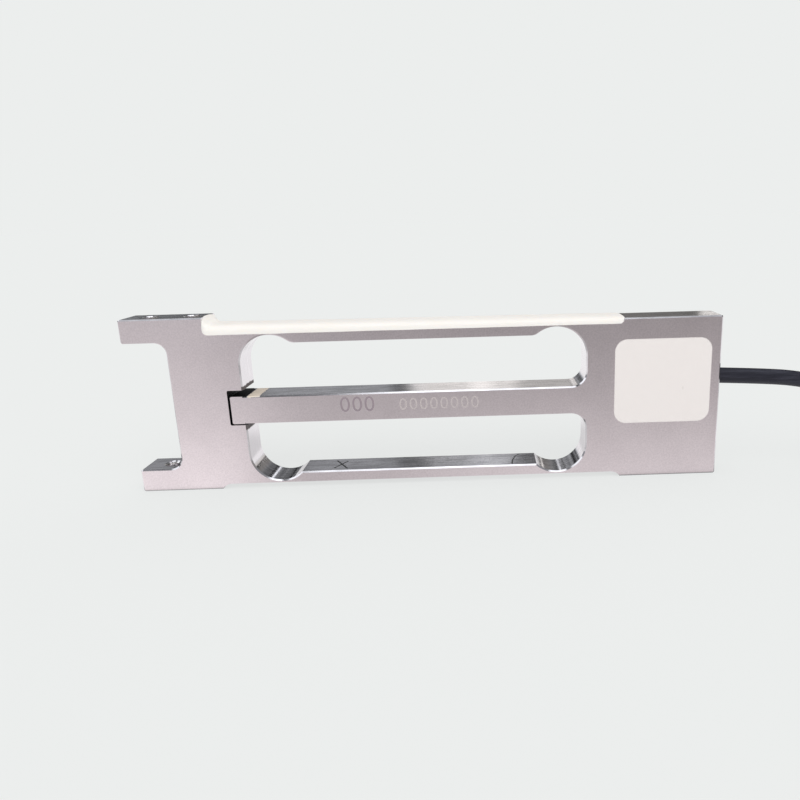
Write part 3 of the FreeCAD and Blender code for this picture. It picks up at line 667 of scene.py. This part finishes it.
@dataclass
class SpringElement:
    """The machined bar, its threads and the etched figures on its arm."""

    threads: tuple[Thread, ...] = (
        Thread("load_thread_outer", -50.25, 33.2, True, 4.4),
        Thread("load_thread_inner", -42.7, 33.2, True, 8.2),
        Thread("tab_thread", -50.25, 4.4, True, 4.4),
        Thread("base_thread_1", 50.5, 0.0, False, 7.0),
        Thread("base_thread_2", 40.5, 0.0, False, 7.0),
    )
    pitch: float = 0.5
    root_radius: float = 1.262
    crest_radius: float = 1.10
    crest_share: float = 0.12
    thread_fill: float = 0.98
    thread_steps: int = 26
    inset: float = 0.28
    front: float = -3.0
    rows: tuple[Figures, ...] = (
        Figures("etched_figures", "000", -16.4, 14.75, 3.05, 1.08, Finishes.ETCHED_DARK),
        Figures("etched_row", "00000000", -5.35, 14.8, 2.4, 1.16, Finishes.ETCHED_LIGHT),
    )
    size_to_height: float = 1.38
    stroke_trim: float = -0.008
    figure_depth: float = 0.004
    figure_proud: float = 0.003

    def build(self, frame: dict) -> None:
        """Makes the threads and figures, and dresses the bar."""
        dress(frame, {"spring_body": Finishes.ALUMINIUM})
        for thread in self.threads:
            placed(self.thread(thread), Finishes.CUT_THREAD)
        for row in self.rows:
            placed(self.etched(row), row.finish)

    def thread(self, hole: Thread) -> bpy.types.Object:
        """Helical ridge of one tapped hole.

        Args:
            hole: Where it is.

        Returns:
            The ridge, as one closed helix.
        """
        turns = int((hole.length - 2 * self.inset) / self.pitch)
        bottom = hole.z - self.inset - turns * self.pitch if hole.down else hole.z + self.inset
        depth = self.root_radius - self.crest_radius
        bpy.ops.mesh.primitive_plane_add(size=MM, rotation=(math.radians(90), 0.0, 0.0))
        ridge = settled(named(hole.name))
        with editing(ridge) as mesh:
            for point in mesh.vertices:
                point.select = point.co.x < 0
            bpy.ops.object.mode_set(mode="EDIT")
            bpy.ops.transform.resize(value=(1.0, 1.0, self.crest_share))
            bpy.ops.mesh.select_all(action="SELECT")
            bpy.ops.transform.resize(value=(depth, 1.0, self.thread_fill * self.pitch))
            middle = (self.crest_radius + depth / 2) * MM
            bpy.ops.transform.translate(value=(middle, 0.0, self.pitch / 2 * MM))
            bpy.ops.mesh.delete(type="ONLY_FACE")
        applied(ridge, "SCREW", axis="Z", steps=self.thread_steps, render_steps=self.thread_steps,
                iterations=turns, screw_offset=self.pitch * MM, use_merge_vertices=False)
        with editing(ridge):
            bpy.ops.object.mode_set(mode="EDIT")
            bpy.ops.mesh.select_all(action="SELECT")
            bpy.ops.mesh.fill_holes(sides=4)
        ridge.location = Vector((hole.x, 0.0, bottom)) * MM
        return smoothed(tidied(settled(ridge)), 20.0)

    def etched(self, row: Figures) -> bpy.types.Object:
        """One row of thin figures on the arm's front face."""
        bpy.ops.object.text_add()
        words = bpy.context.view_layer.objects.active
        words.data.body = row.text
        words.data.size = row.height * MM * self.size_to_height
        words.data.space_character = row.spread
        words.data.offset = self.stroke_trim * row.height * MM
        words.data.extrude = self.figure_depth * MM
        words.data.resolution_u = 5
        bpy.ops.object.convert(target="MESH")
        made = named(row.name)
        made.rotation_euler = (math.radians(90), 0.0, 0.0)
        made.location = Vector((row.x, self.front - self.figure_proud, row.z)) * MM
        return tidied(settled(made))


# --- silicone -----------------------------------------------------------------------------
@dataclass
class GaugeSeal:
    """Silicone bead over the gauges, and the gauges under it."""

    start: float = -40.2
    wall: float = -39.95
    end: float = 36.82
    lip: float = 0.35
    half_width: float = 3.0
    floor: float = 30.2
    drop: float = 0.17
    left_level: float = 31.88
    right_level: float = 31.3
    end_round: float = 1.05
    near_round: float = 1.4
    end_inset: float = 0.4
    near_lift: float = 1.15
    climb_height: float = 33.27
    climb_reach: float = 1.6
    climb_full: float = 0.12
    wave_pitch: float = 0.16
    wave_across: float = 0.035
    wave_under: float = 0.05
    wave_above: float = 0.03
    ripple_pitch: float = 0.9
    ripple_above: float = 0.012
    end_dip: float = 0.22
    crown_fall: float = 0.06
    under_edge: float = 0.12
    crowding: float = 0.9
    cuts: int = 100
    sides: int = 160

    def build(self, frame: dict) -> None:
        """Makes the bead and dresses what lies under it."""
        bead = placed(self.bead(), Finishes.SILICONE)
        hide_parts("gauge_coat")
        for side in ("left", "right"):
            dress(frame, {"gauge_backing_" + side: Finishes.FILM,
                          "terminal_strip_" + side: Finishes.LAMINATE})
            dress(frame, {f"gauge_grid_{side}_{row}": Finishes.FOIL for row in ("front", "back")})
            dress(frame, {f"bridge_wire_{side}_{i + 1}": Finishes.ENAMEL for i in range(3)})

    def bead(self) -> bpy.types.Object:
        """Bead with rounded ends, a wavy crown and a film that climbs the loaded end's step."""
        length = self.end - self.start
        bpy.ops.mesh.primitive_cylinder_add(vertices=self.sides, radius=MM, depth=length * MM,
                                            rotation=(0.0, math.pi / 2, 0.0))
        bead = settled(named("silicone_bead"))
        modes = bpy.context.tool_settings
        modes.mesh_select_mode = (False, True, False)
        with editing(bead) as mesh:
            for edge in mesh.edges:
                ends = [mesh.vertices[i].co.x for i in edge.vertices]
                edge.select = abs(ends[0] - ends[1]) > length * MM / 2
            bpy.ops.object.mode_set(mode="EDIT")
            bpy.ops.mesh.subdivide(number_cuts=self.cuts)
        modes.mesh_select_mode = (True, False, False)
        for point in bead.data.vertices:
            share = point.co.x / (length * MM) + 0.5
            turn = math.atan2(point.co.z, point.co.y) / TURN % 1.0
            point.co = self.surface(share, turn) * MM
        return smoothed(tidied(bead), 50.0)

    def surface(self, share: float, turn: float) -> Vector:
        """Point of the bead's surface.

        Args:
            share: Place along the bead, from 0 to 1; points crowd towards both ends.
            turn: Place round its section, from 0 to 1.

        Returns:
            The point, in millimetres.
        """
        eased = min(max(share - self.crowding * math.sin(TURN * share) / TURN, 0.0), 1.0)
        x = self.start + eased * (self.end - self.start)
        near, far = x - self.start, self.end - x
        swell = min(self.rounding(near), self.rounding(far))
        wave = noise.noise(Vector((x * self.wave_pitch, 3.0, 0.0)))
        ripple = noise.noise(Vector((x * self.ripple_pitch, 0.0, 7.0)))
        half = self.half_width - self.end_inset + (self.lip + self.end_inset) * swell
        half = half + self.wave_across * wave
        low = self.floor - self.drop + self.wave_under * wave * swell
        low += self.near_lift * (1.0 - self.rounding(near * self.end_round / self.near_round))
        low += self.end_round * 0.95 * (1.0 - self.rounding(far))
        level = self.left_level + (self.right_level - self.left_level) * eased ** 0.7
        level = level + self.wave_above * wave + self.ripple_above * ripple
        level -= self.end_dip * (1.0 - self.rounding(far * 1.6))
        past = max(0.0, x - self.wall - self.climb_full)
        level += (self.climb_height - level) * max(0.0, 1.0 - past / self.climb_reach) ** 2.6
        return self.section(x, turn, half, low, level)

    def rounding(self, distance: float) -> float:
        """Quarter-circle rise from 0 at an end to 1 a radius away."""
        left = 1.0 - min(max(distance, 0.0) / self.end_round, 1.0)
        return math.sqrt(1.0 - left * left)

    def section(self, x: float, turn: float, half: float, low: float, level: float) -> Vector:
        """Point of the section: flat underside, upright sides, round shoulders and a crown."""
        angle = turn * TURN
        across, up = math.cos(angle), math.sin(angle)
        y = half * math.copysign(abs(across) ** 0.42, across)
        if up <= 1e-6:
            return Vector((x, y, low + self.under_edge * max(0.0, 1.0 - abs(across)) ** 0.5))
        tall = level - low
        crown = 1.0 - self.crown_fall * (y / half) ** 2
        return Vector((x, y, low + tall * crown * up ** 0.5))


# --- pocket -------------------------------------------------------------------------------
@dataclass
class WiringPocket:
    """Potting in the fixed end, with the board, its chips and the cores inside."""

    chips: int = 4

    def build(self, frame: dict) -> None:
        """Dresses the pocket's pieces."""
        dress(frame, {"pocket_potting": Finishes.POTTING, "compensation_board": Finishes.LAMINATE,
                      "cable_entry": Finishes.JACKET})
        dress(frame, {f"trim_resistor_{i + 1}": Finishes.CHIP for i in range(self.chips)})
        dress(frame, {"core_" + name: finish for name, finish in CORE_FINISHES.items()})


# --- cable --------------------------------------------------------------------------------
@dataclass
class SignalCable:
    """The free cable: its seen run, the folded hank, the tie and the four leads."""

    diameter: float = 3.0
    end_face: float = 55.0
    exit_height: float = 18.885
    run: tuple[tuple[float, float, float], ...] = (
        (8.0, 0.0, 18.5), (16.5, -0.1, 17.8), (24.5, -0.4, 15.6), (31.5, -0.9, 11.2),
        (37.5, -1.3, 6.3), (42.8, -1.1, 3.1), (48.2, -1.05, 1.85), (53.4, -1.0, 1.5),
    )
    tail: tuple[tuple[float, float, float], ...] = (
        (53.4, -19.0, 4.5), (46.6, -19.05, 4.3), (40.0, -19.2, 2.8), (34.2, -18.7, 1.5),
        (29.0, -18.7, 1.5),
    )
    hank_near: float = 53.4
    hank_run: float = 38.0
    hank_radius: float = 9.0
    hank_middle: float = -10.0
    fold_points: int = 7
    climb_by: float = 0.66
    length: float = 319.0
    round_steps: int = 5
    route_steps: int = 8

    def build(self, frame: dict) -> None:
        """Makes the cable and dresses the pieces on it."""
        dress(frame, {"cable_tie": Finishes.NYLON})
        dress(frame, {"lead_" + name: finish for name, finish in CORE_FINISHES.items()})
        dress(frame, {"lead_tip_" + name: Finishes.TINNED for name in CORE_FINISHES})
        cable = placed(self.curve(), Finishes.JACKET)
        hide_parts("cable", "cable_hank", "cable_tail")
        nodes = frame["nodes"]
        on_it = [nodes["cable_tie"]]
        on_it += [nodes[kind + name] for name in CORE_FINISHES for kind in ("lead_", "lead_tip_")]
        self.at((0.0, 0.0, self.exit_height))

    def at(self, point: Sequence[float]) -> Vector:
        """A point given beyond the end face, in the part's frame and in metres."""
        return Vector((self.end_face + point[0], point[1], point[2])) * MM

    def hank(self) -> list[tuple[float, float, float]]:
        """Control points of the two layers of the folded cable, from its run to its tail."""
        low, high = self.diameter / 2, 1.5 * self.diameter
        near, far = self.hank_near, self.hank_near + self.hank_run
        half_way = near + 0.5 * self.hank_run
        back, front = self.hank_middle + self.hank_radius, self.hank_middle - self.hank_radius
        points = [(half_way, back, low)]
        points += self.fold(far, 1, low, low) + [(half_way, front, low)]
        points += self.fold(near, -1, low, high) + [(half_way, back, high)]
        points += self.fold(far, 1, high, high) + [(half_way, front, high)]
        return points

    def fold(self, x: float, side: int, start: float,
             end: float) -> list[tuple[float, float, float]]:
        """Control points of one fold.

        Args:
            x: Where the fold's middle is, beyond the end face.
            side: 1 for the far fold and -1 for the near one.
            start: Height that it starts at.
            end: Height that it reaches by two thirds of its way.

        Returns:
            The points, in millimetres.
        """
        points = []
        for i in range(self.fold_points + 2):
            share = i / (self.fold_points + 1)
            angle = math.pi * share
            height = start + (end - start) * min(1.0, share / self.climb_by)
            y = self.hank_middle + side * self.hank_radius * math.cos(angle)
            points.append((x + side * self.hank_radius * math.sin(angle), y, height))
        return points

    def curve(self) -> bpy.types.Object:
        """One smooth round curve along the whole route."""
        route = [(0.0, 0.0, self.exit_height), *self.run, *self.hank(), *self.tail]
        data = bpy.data.curves.new("signal_cable", "CURVE")
        data.dimensions = "3D"
        data.bevel_depth = self.diameter / 2 * MM
        data.bevel_resolution = self.round_steps
        data.resolution_u = self.route_steps
        data.use_fill_caps = True
        line = data.splines.new("NURBS")
        line.points.add(len(route) - 1)
        for place, point in zip(line.points, route):
            place.co = (*self.at(point), 1.0)
        line.order_u = 3
        line.use_endpoint_u = True
        made = bpy.data.objects.new("signal_cable", data)
        bpy.context.scene.collection.objects.link(made)
        return made


# --- studio -------------------------------------------------------------------------------
@dataclass(frozen=True)
class Panel:
    """A soft light or dark panel that polished metal reflects.

    Directions are degrees: azimuth from straight behind the object towards its fixed end, and
    elevation above the horizon.
    """

    azimuth: float
    half_width: float
    low: float
    high: float
    edge: float
    level: float


@dataclass
class Studio:
    """Pale floor, soft light and the camera."""

    ground: Colour = (0.838, 0.855, 0.847)
    cool: Colour = (0.955, 0.995, 1.03)
    warm: Colour = (1.02, 1.0, 0.955)
    room: float = 0.145
    skyline: float = 0.92
    # a later panel covers an earlier one; the last four stand high or to the sides
    panels: tuple[Panel, ...] = (
        Panel(20.0, 11.0, 13.0, 20.5, 2.5, 0.25),
        Panel(-43.0, 15.0, 16.0, 50.0, 3.0, 0.32),
        Panel(-27.5, 5.5, 6.2, 7.8, 0.7, 0.29),
        Panel(-15.0, 5.6, 13.5, 17.0, 1.2, 0.42),
        Panel(-13.0, 4.0, 20.8, 22.8, 0.8, 0.46),
        Panel(7.0, 2.0, 26.0, 32.0, 1.0, 0.03),
        Panel(-5.0, 2.0, 26.0, 40.0, 1.0, 0.22),
        Panel(0.6, 1.5, 24.5, 60.0, 0.8, 1.40),
        Panel(-1.2, 4.0, 20.5, 23.2, 0.8, 0.46),
        Panel(7.0, 5.0, 12.5, 17.5, 1.5, 0.60),
        Panel(-1.7, 4.6, 12.0, 18.0, 1.2, 0.95),
        Panel(-0.1, 0.9, 12.0, 17.0, 0.8, 1.30),
        Panel(-25.0, 4.5, 8.9, 13.6, 0.6, 0.0),
        Panel(-25.5, 3.5, 2.6, 5.4, 0.6, 0.0),
        Panel(15.0, 3.6, 7.4, 10.0, 0.8, 0.17),
        Panel(23.4, 2.8, 7.7, 9.4, 0.6, 1.40),
        Panel(29.8, 2.6, 8.2, 12.0, 0.7, 0.03),
        Panel(30.5, 3.0, 2.6, 6.2, 0.7, 0.80),
        Panel(180.0, 80.0, -5.0, 50.0, 12.0, 0.34),
        Panel(-148.0, 18.0, -5.0, 35.0, 12.0, 0.68),
        Panel(122.0, 93.0, 58.0, 91.0, 4.0, 1.70),
        Panel(-97.0, 15.0, 54.0, 72.0, 4.0, 0.75),
        Panel(-104.0, 22.0, 16.0, 48.0, 4.0, 1.30),
        Panel(118.0, 13.0, 60.0, 78.0, 3.0, 0.62),
    )
    sun_power: float = 1.0
    sky_power: float = 0.80
    shadow_share: float = 0.25
    self_lit: float = 0.99
    dimmest: float = 0.998
    floor_size: float = 60.0
    front_level: float = 0.865
    left_level: float = 1.07
    back_level: float = 0.97
    # painted shadows of the bar in the floor's glow, behind it and under its front edge
    back_shadow: float = 0.24
    under_shadow: float = 0.6
    sun_turn: tuple[float, float] = (38.0, 20.0)
    sun_width: float = 60.0
    eye: tuple[float, float, float] = (10.23, -111.91, 49.04)
    look: tuple[float, float, float] = (0.0156, 0.9754, -0.2201)
    above: tuple[float, float, float] = (0.0297, 0.2195, 0.9752)
    lens: float = 27.25
    sensor: float = 36.0
    shift: tuple[float, float] = (-0.1126, -0.054)
    clip: tuple[float, float] = (0.002, 200.0)

    def build(self) -> None:
        """Makes the floor, the light and the camera."""
        scene = bpy.context.scene
        scene.view_settings.view_transform = "Standard"
        self.sky(scene)
        self.floor()
        self.sun()
        scene.camera = self.camera()

    def sky(self, scene: bpy.types.Scene) -> None:
        """World: even light, the ground's colour to the camera, and panels to glossy rays."""
        world = bpy.data.worlds.new("studio")
        scene.world = world
        world.use_nodes = True
        graph = Graph(world.node_tree)
        path = graph.node("LightPath").outputs
        x, y, z = graph.split(graph.node("TexCoord").outputs["Generated"])
        azimuth = graph.maths("ARCTAN2", x, y) * (180 / math.pi)
        elevation = graph.maths("ARCSINE", z) * (180 / math.pi)
        level = elevation.step(5.5, -1.0) * (self.skyline - self.room) + self.room
        for panel in self.panels:
            turn = abs(azimuth - panel.azimuth)
            turn = turn.least(360.0 - turn)
            mask = turn.step(panel.half_width + panel.edge, panel.half_width)
            mask = mask * elevation.step(panel.low - panel.edge, panel.low)
            mask = mask * elevation.step(panel.high + panel.edge, panel.high)
            level = level + mask * (panel.level - level)
        glossy = Term(graph, path["Is Glossy Ray"])
        seen = graph.looked_at(path)
        even = graph.joined(self.sky_power, self.sky_power, self.sky_power)
        sunny = azimuth.step(-9.0, -5.0) * elevation.step(21.5, 17.0)
        sunny = sunny * elevation.step(-1.0, 3.0)
        tint = graph.mix(sunny, self.cool, self.warm)
        tinted = graph.scaled(tint, level)
        shown = graph.mix(glossy, even, tinted)
        colour = graph.mix(seen, shown, self.ground)
        lit = graph.node("Background", inputs={"Color": colour, "Strength": 1.0})
        graph.node("OutputWorld", inputs={0: lit.outputs[0]})

    def floor(self) -> None:
        """Large pale floor, lit from itself to the camera and graded to glossy rays."""
        bpy.ops.mesh.primitive_grid_add(x_subdivisions=8, y_subdivisions=8, size=self.floor_size)
        ground = named("floor")
        made = bpy.data.materials.new("pale_floor")
        made.use_nodes = True
        graph = Graph(made.node_tree)
        place, _ = graph.place()
        x, y, _ = graph.split(place)
        mottle = graph.noise(place, 0.02, 2.0)
        path = graph.node("LightPath").outputs
        glow = graph.node("Emission", inputs={"Color": self.glow(x, y), "Strength": 1.0})
        tint = graph.mix(mottle, tuple(self.dimmest * part for part in self.ground), self.ground)
        matt = graph.node("BsdfDiffuse", inputs={"Color": tint, "Roughness": 0.0})
        own = graph.node("Emission", inputs={"Color": self.ground, "Strength": self.self_lit})
        seen = graph.looked_at(path)
        plain = graph.node("MixShader", inputs={0: seen * (1.0 - self.shadow_share),
                                                1: matt.outputs[0], 2: own.outputs[0]})
        both = graph.node("MixShader", inputs={0: path["Is Glossy Ray"], 1: plain.outputs[0],
                                               2: glow.outputs[0]})
        graph.node("OutputMaterial", inputs={0: both.outputs[0]})
        ground.data.materials.append(made)

    def glow(self, x: Term, y: Term) -> bpy.types.NodeSocket:
        """Colour of the floor to glossy rays.

        It falls off in front, more so towards the fixed end, and holds painted shadows of the bar:
        a dip behind it and a dark strip under its front edge.

        Args:
            x: Place along the bar.
            y: Place across it.

        Returns:
            The colour.
        """
        near, far = y.step(0.0, -70.0), y.step(-60.0, -220.0)
        front = y.step(0.5, -4.0)
        left = (x - 0.36 * y).step(-20.0, -42.0)
        close = y.step(-45.0, -15.0) * (0.04 + 0.21 * x.step(25.0, -25.0))
        dim = self.front_level - 0.36 * near - 0.20 * far - close
        bright = self.left_level - 0.26 * near - 0.18 * far
        ahead = dim + left * (bright - dim)
        # painted shadow of the bar behind it
        behind = self.back_level - self.back_shadow * y.step(4.0, 14.0) * y.step(36.0, 22.0)
        level = behind + front * (ahead - behind)
        # painted shadow in a strip under the bar's front edge
        under = y.step(-4.2, -3.0) * y.step(-0.6, -1.8) * abs(x).step(60.0, 54.0)
        level = level * (1.0 - self.under_shadow * under)
        return x.graph.joined(level, level, level)

    def sun(self) -> None:
        """One broad soft lamp from the upper right front, which glossy rays don't see."""
        tilt, roll = (math.radians(angle) for angle in self.sun_turn)
        bpy.ops.object.light_add(type="SUN", rotation=(tilt, roll, 0.0))
        lamp = bpy.context.view_layer.objects.active
        lamp.name = "key_light"
        lamp.data.energy = self.sun_power
        lamp.data.angle = math.radians(self.sun_width)
        lamp.visible_glossy = False

    def camera(self) -> bpy.types.Object:
        """Camera at its place, with its view shifted off its axis."""
        bpy.ops.object.camera_add()
        made = bpy.context.view_layer.objects.active
        made.name = "camera"
        back = -Vector(self.look).normalized()
        right = Vector(self.above).cross(back).normalized()
        turned = Matrix((right, back.cross(right), back)).transposed()
        made.matrix_world = Matrix.Translation(Vector(self.eye) * MM) @ turned.to_4x4()
        made.data.lens = self.lens
        made.data.sensor_width = self.sensor
        made.data.shift_x, made.data.shift_y = self.shift
        made.data.clip_start, made.data.clip_end = self.clip
        return made


def main() -> None:
    """Builds every sub-assembly and the studio."""
    logging.basicConfig(level=logging.INFO, format="%(name)s %(message)s")
    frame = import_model()
    for part in (SpringElement(), GaugeSeal(), WiringPocket(), SignalCable()):
        part.build(frame)
    Studio().build()
    bpy.context.view_layer.update()


if __name__ == "__main__":
    main()
